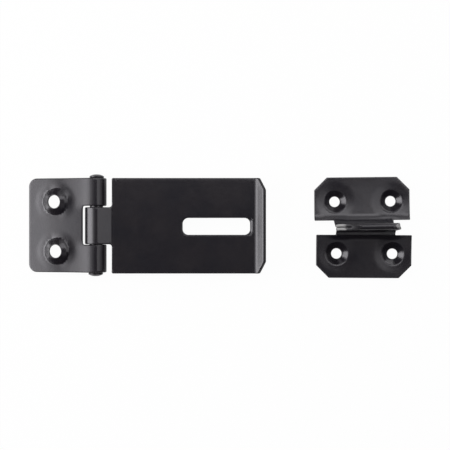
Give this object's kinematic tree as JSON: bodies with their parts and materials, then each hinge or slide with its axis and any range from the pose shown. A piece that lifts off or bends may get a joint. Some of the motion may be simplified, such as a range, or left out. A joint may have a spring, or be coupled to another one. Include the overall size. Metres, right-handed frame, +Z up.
{
  "type": "safety hasp",
  "caption": "Slotted hasp plate pinned to a screw-on leaf, with a separate staple plate whose folded ear takes a padlock, in black coated pressed steel.",
  "frame": {"origin": "middle of the set's footprint, on the surface that it lies on", "axes": "+X from the hinge leaf to the staple plate, +Y along the hinge pin, +Z up from the surface"},
  "size_m": [0.1874, 0.0507, 0.024],
  "materials": {
    "black_coat": "satin black coat on pressed steel",
    "pin_coat": "satin black coat on steel rod"
  },
  "bodies": {
    "hasp_and_staple": {"hasp_plate": "black_coat", "staple_plate": "black_coat"},
    "leaf": {"hinge_leaf": "black_coat", "hinge_pin": "pin_coat"}
  },
  "joints": [
    {"name": "leaf_hinge", "type": "hinge", "parent": "hasp_and_staple", "child": "leaf", "pos_m": [-0.06028, 0.00063, 0.00523], "axis": [0, -1, 0], "range_deg": [-15.29, 164.71]}
  ]
}
